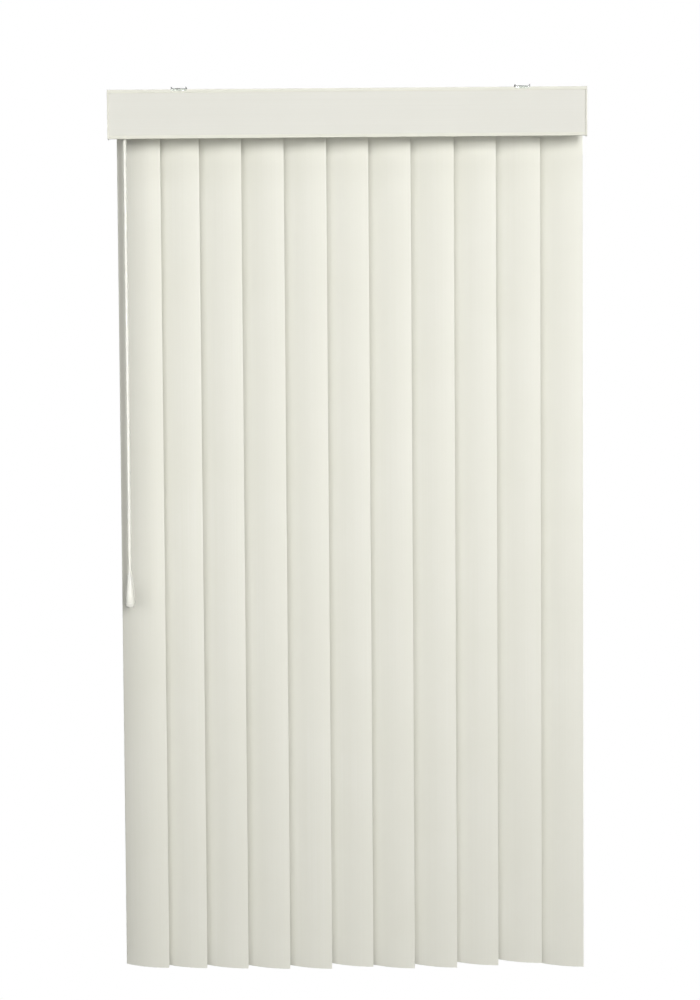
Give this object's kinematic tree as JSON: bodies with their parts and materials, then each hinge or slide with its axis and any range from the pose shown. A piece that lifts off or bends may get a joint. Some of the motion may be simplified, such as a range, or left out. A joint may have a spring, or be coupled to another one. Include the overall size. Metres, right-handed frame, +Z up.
{
  "type": "vertical blind",
  "caption": "Wand-operated vertical blind: curved PVC vanes hang from geared carriers in a headrail behind a channel valance, and tilt and draw to one side.",
  "frame": {"origin": "centre of the ceiling brackets' four screw holes, on the brackets' top faces", "axes": "+X along the rail to the viewer's right, -Y to the room, +Z up"},
  "size_m": [0.883, 0.0942, 1.6635],
  "materials": {
    "rail_aluminium": "satin white enamel",
    "rod_aluminium": "drawn",
    "bracket_steel": "zinc plated",
    "cap_plastic": "moulded",
    "carrier_plastic": "moulded",
    "gear_plastic": "moulded",
    "worm_plastic": "moulded",
    "vane_pvc": "semi-gloss off-white",
    "valance_plastic": "semi-gloss off-white",
    "valance_pvc": "semi-gloss off-white",
    "clear_plastic": "clear",
    "wand_plastic": "gloss white"
  },
  "bodies": {
    "rail": {"headrail": "rail_aluminium", "end_cap_left": "cap_plastic", "end_cap_right": "cap_plastic", "bracket_left": "bracket_steel", "bracket_right": "bracket_steel", "valance_channel": "valance_plastic", "valance_insert": "valance_pvc", "valance_return_left": "valance_plastic", "valance_return_right": "valance_plastic", "valance_clips": "clear_plastic", "carrier_11": "carrier_plastic"},
    "carrier_01": {"carrier_01": "carrier_plastic"},
    "carrier_02": {"carrier_02": "carrier_plastic"},
    "carrier_03": {"carrier_03": "carrier_plastic"},
    "carrier_04": {"carrier_04": "carrier_plastic"},
    "carrier_05": {"carrier_05": "carrier_plastic"},
    "carrier_06": {"carrier_06": "carrier_plastic"},
    "carrier_07": {"carrier_07": "carrier_plastic"},
    "carrier_08": {"carrier_08": "carrier_plastic"},
    "carrier_09": {"carrier_09": "carrier_plastic"},
    "carrier_10": {"carrier_10": "carrier_plastic"},
    "vane_01": {"stem_01": "gear_plastic", "vane_01": "vane_pvc"},
    "vane_02": {"stem_02": "gear_plastic", "vane_02": "vane_pvc"},
    "vane_03": {"stem_03": "gear_plastic", "vane_03": "vane_pvc"},
    "vane_04": {"stem_04": "gear_plastic", "vane_04": "vane_pvc"},
    "vane_05": {"stem_05": "gear_plastic", "vane_05": "vane_pvc"},
    "vane_06": {"stem_06": "gear_plastic", "vane_06": "vane_pvc"},
    "vane_07": {"stem_07": "gear_plastic", "vane_07": "vane_pvc"},
    "vane_08": {"stem_08": "gear_plastic", "vane_08": "vane_pvc"},
    "vane_09": {"stem_09": "gear_plastic", "vane_09": "vane_pvc"},
    "vane_10": {"stem_10": "gear_plastic", "vane_10": "vane_pvc"},
    "vane_11": {"stem_11": "gear_plastic", "vane_11": "vane_pvc"},
    "worm_01": {"worm_01": "worm_plastic"},
    "worm_02": {"worm_02": "worm_plastic"},
    "worm_03": {"worm_03": "worm_plastic"},
    "worm_04": {"worm_04": "worm_plastic"},
    "worm_05": {"worm_05": "worm_plastic"},
    "worm_06": {"worm_06": "worm_plastic"},
    "worm_07": {"worm_07": "worm_plastic"},
    "worm_08": {"worm_08": "worm_plastic"},
    "worm_09": {"worm_09": "worm_plastic"},
    "worm_10": {"worm_10": "worm_plastic"},
    "worm_11": {"worm_11": "worm_plastic"},
    "tilt_rod": {"tilt_rod": "rod_aluminium"},
    "idler_gear": {"idler_gear": "gear_plastic"},
    "wand_hook": {"wand_hook": "gear_plastic"},
    "wand_link": {"wand_link": "wand_plastic"},
    "wand": {"wand": "wand_plastic", "wand_grip": "wand_plastic"}
  },
  "joints": [
    {"name": "carrier_01_slide", "type": "slide", "parent": "rail", "child": "carrier_01", "axis": [1, 0, 0], "range_m": [0, 0.6055]},
    {"name": "carrier_02_slide", "type": "slide", "parent": "rail", "child": "carrier_02", "axis": [1, 0, 0], "range_m": [0, 0.5585]},
    {"name": "carrier_03_slide", "type": "slide", "parent": "rail", "child": "carrier_03", "axis": [1, 0, 0], "range_m": [0, 0.4975]},
    {"name": "carrier_04_slide", "type": "slide", "parent": "rail", "child": "carrier_04", "axis": [1, 0, 0], "range_m": [0, 0.4355]},
    {"name": "carrier_05_slide", "type": "slide", "parent": "rail", "child": "carrier_05", "axis": [1, 0, 0], "range_m": [0, 0.3735]},
    {"name": "carrier_06_slide", "type": "slide", "parent": "rail", "child": "carrier_06", "axis": [1, 0, 0], "range_m": [0, 0.3125]},
    {"name": "carrier_07_slide", "type": "slide", "parent": "rail", "child": "carrier_07", "axis": [1, 0, 0], "range_m": [0, 0.251]},
    {"name": "carrier_08_slide", "type": "slide", "parent": "rail", "child": "carrier_08", "axis": [1, 0, 0], "range_m": [0, 0.188]},
    {"name": "carrier_09_slide", "type": "slide", "parent": "rail", "child": "carrier_09", "axis": [1, 0, 0], "range_m": [0, 0.127]},
    {"name": "carrier_10_slide", "type": "slide", "parent": "rail", "child": "carrier_10", "axis": [1, 0, 0], "range_m": [0, 0.062]},
    {"name": "vane_01_tilt", "type": "hinge", "parent": "carrier_01", "child": "vane_01", "pos_m": [-0.3965, 0, 0], "axis": [0, 0, -1], "range_deg": [0, 145.95]},
    {"name": "vane_02_tilt", "type": "hinge", "parent": "carrier_02", "child": "vane_02", "pos_m": [-0.3235, 0, 0], "axis": [0, 0, -1], "range_deg": [0, 145.95]},
    {"name": "vane_03_tilt", "type": "hinge", "parent": "carrier_03", "child": "vane_03", "pos_m": [-0.2445, 0, 0], "axis": [0, 0, -1], "range_deg": [0, 145.95]},
    {"name": "vane_04_tilt", "type": "hinge", "parent": "carrier_04", "child": "vane_04", "pos_m": [-0.1645, 0, 0], "axis": [0, 0, -1], "range_deg": [0, 145.95]},
    {"name": "vane_05_tilt", "type": "hinge", "parent": "carrier_05", "child": "vane_05", "pos_m": [-0.0845, 0, 0], "axis": [0, 0, -1], "range_deg": [0, 145.95]},
    {"name": "vane_06_tilt", "type": "hinge", "parent": "carrier_06", "child": "vane_06", "pos_m": [-0.0055, 0, 0], "axis": [0, 0, -1], "range_deg": [0, 145.95]},
    {"name": "vane_07_tilt", "type": "hinge", "parent": "carrier_07", "child": "vane_07", "pos_m": [0.074, 0, 0], "axis": [0, 0, -1], "range_deg": [0, 145.95]},
    {"name": "vane_08_tilt", "type": "hinge", "parent": "carrier_08", "child": "vane_08", "pos_m": [0.155, 0, 0], "axis": [0, 0, -1], "range_deg": [0, 145.95]},
    {"name": "vane_09_tilt", "type": "hinge", "parent": "carrier_09", "child": "vane_09", "pos_m": [0.234, 0, 0], "axis": [0, 0, -1], "range_deg": [0, 145.95]},
    {"name": "vane_10_tilt", "type": "hinge", "parent": "carrier_10", "child": "vane_10", "pos_m": [0.317, 0, 0], "axis": [0, 0, -1], "range_deg": [0, 145.95]},
    {"name": "vane_11_tilt", "type": "hinge", "parent": "rail", "child": "vane_11", "pos_m": [0.397, 0, 0], "axis": [0, 0, -1], "range_deg": [0, 145.95]},
    {"name": "worm_01_spin", "type": "hinge", "parent": "carrier_01", "child": "worm_01", "pos_m": [-0.3965, 0.0092, -0.0206], "axis": [1, 0, 0], "range_deg": [-729.83, 0]},
    {"name": "worm_02_spin", "type": "hinge", "parent": "carrier_02", "child": "worm_02", "pos_m": [-0.3235, 0.0092, -0.0206], "axis": [1, 0, 0], "range_deg": [-729.83, 0]},
    {"name": "worm_03_spin", "type": "hinge", "parent": "carrier_03", "child": "worm_03", "pos_m": [-0.2445, 0.0092, -0.0206], "axis": [1, 0, 0], "range_deg": [-729.83, 0]},
    {"name": "worm_04_spin", "type": "hinge", "parent": "carrier_04", "child": "worm_04", "pos_m": [-0.1645, 0.0092, -0.0206], "axis": [1, 0, 0], "range_deg": [-729.83, 0]},
    {"name": "worm_05_spin", "type": "hinge", "parent": "carrier_05", "child": "worm_05", "pos_m": [-0.0845, 0.0092, -0.0206], "axis": [1, 0, 0], "range_deg": [-729.83, 0]},
    {"name": "worm_06_spin", "type": "hinge", "parent": "carrier_06", "child": "worm_06", "pos_m": [-0.0055, 0.0092, -0.0206], "axis": [1, 0, 0], "range_deg": [-729.83, 0]},
    {"name": "worm_07_spin", "type": "hinge", "parent": "carrier_07", "child": "worm_07", "pos_m": [0.074, 0.0092, -0.0206], "axis": [1, 0, 0], "range_deg": [-729.83, 0]},
    {"name": "worm_08_spin", "type": "hinge", "parent": "carrier_08", "child": "worm_08", "pos_m": [0.155, 0.0092, -0.0206], "axis": [1, 0, 0], "range_deg": [-729.83, 0]},
    {"name": "worm_09_spin", "type": "hinge", "parent": "carrier_09", "child": "worm_09", "pos_m": [0.234, 0.0092, -0.0206], "axis": [1, 0, 0], "range_deg": [-729.83, 0]},
    {"name": "worm_10_spin", "type": "hinge", "parent": "carrier_10", "child": "worm_10", "pos_m": [0.317, 0.0092, -0.0206], "axis": [1, 0, 0], "range_deg": [-729.83, 0]},
    {"name": "worm_11_spin", "type": "hinge", "parent": "rail", "child": "worm_11", "pos_m": [0.397, 0.0092, -0.0206], "axis": [1, 0, 0], "range_deg": [-729.83, 0]},
    {"name": "tilt_rod_spin", "type": "hinge", "parent": "rail", "child": "tilt_rod", "pos_m": [0, 0.0092, -0.0206], "axis": [1, 0, 0], "range_deg": [-729.83, 0]},
    {"name": "idler_gear_spin", "type": "hinge", "parent": "carrier_01", "child": "idler_gear", "pos_m": [-0.40607, -0.03106, -0.0379], "axis": [0, 0, -1], "range_deg": [-192.96, 0]},
    {"name": "wand_turn", "type": "hinge", "parent": "carrier_01", "child": "wand_hook", "pos_m": [-0.4124, -0.05161, -0.0379], "axis": [0, 0, -1], "range_deg": [0, 360.01]},
    {"name": "wand_swing_side", "type": "hinge", "parent": "wand_hook", "child": "wand_link", "pos_m": [-0.4124, -0.05161, -0.054], "axis": [0, 1, 0], "range_deg": [-25, 25]},
    {"name": "wand_swing_front", "type": "hinge", "parent": "wand_link", "child": "wand", "pos_m": [-0.4124, -0.05161, -0.0665], "axis": [-1, 0, 0], "range_deg": [0, 12]}
  ],
  "couplings": [
    {"joint": "carrier_02_slide", "follows": "carrier_01_slide", "ratio": 0.92238},
    {"joint": "carrier_03_slide", "follows": "carrier_01_slide", "ratio": 0.82163},
    {"joint": "carrier_04_slide", "follows": "carrier_01_slide", "ratio": 0.71924},
    {"joint": "carrier_05_slide", "follows": "carrier_01_slide", "ratio": 0.61685},
    {"joint": "carrier_06_slide", "follows": "carrier_01_slide", "ratio": 0.5161},
    {"joint": "carrier_07_slide", "follows": "carrier_01_slide", "ratio": 0.41453},
    {"joint": "carrier_08_slide", "follows": "carrier_01_slide", "ratio": 0.31049},
    {"joint": "carrier_09_slide", "follows": "carrier_01_slide", "ratio": 0.20974},
    {"joint": "carrier_10_slide", "follows": "carrier_01_slide", "ratio": 0.10239},
    {"joint": "vane_02_tilt", "follows": "vane_01_tilt", "ratio": 1},
    {"joint": "vane_03_tilt", "follows": "vane_01_tilt", "ratio": 1},
    {"joint": "vane_04_tilt", "follows": "vane_01_tilt", "ratio": 1},
    {"joint": "vane_05_tilt", "follows": "vane_01_tilt", "ratio": 1},
    {"joint": "vane_06_tilt", "follows": "vane_01_tilt", "ratio": 1},
    {"joint": "vane_07_tilt", "follows": "vane_01_tilt", "ratio": 1},
    {"joint": "vane_08_tilt", "follows": "vane_01_tilt", "ratio": 1},
    {"joint": "vane_09_tilt", "follows": "vane_01_tilt", "ratio": 1},
    {"joint": "vane_10_tilt", "follows": "vane_01_tilt", "ratio": 1},
    {"joint": "vane_11_tilt", "follows": "vane_01_tilt", "ratio": 1},
    {"joint": "worm_01_spin", "follows": "vane_01_tilt", "ratio": -5},
    {"joint": "worm_02_spin", "follows": "vane_01_tilt", "ratio": -5},
    {"joint": "worm_03_spin", "follows": "vane_01_tilt", "ratio": -5},
    {"joint": "worm_04_spin", "follows": "vane_01_tilt", "ratio": -5},
    {"joint": "worm_05_spin", "follows": "vane_01_tilt", "ratio": -5},
    {"joint": "worm_06_spin", "follows": "vane_01_tilt", "ratio": -5},
    {"joint": "worm_07_spin", "follows": "vane_01_tilt", "ratio": -5},
    {"joint": "worm_08_spin", "follows": "vane_01_tilt", "ratio": -5},
    {"joint": "worm_09_spin", "follows": "vane_01_tilt", "ratio": -5},
    {"joint": "worm_10_spin", "follows": "vane_01_tilt", "ratio": -5},
    {"joint": "worm_11_spin", "follows": "vane_01_tilt", "ratio": -5},
    {"joint": "tilt_rod_spin", "follows": "vane_01_tilt", "ratio": -5},
    {"joint": "idler_gear_spin", "follows": "vane_01_tilt", "ratio": -1.3214},
    {"joint": "wand_turn", "follows": "vane_01_tilt", "ratio": 2.4667}
  ]
}
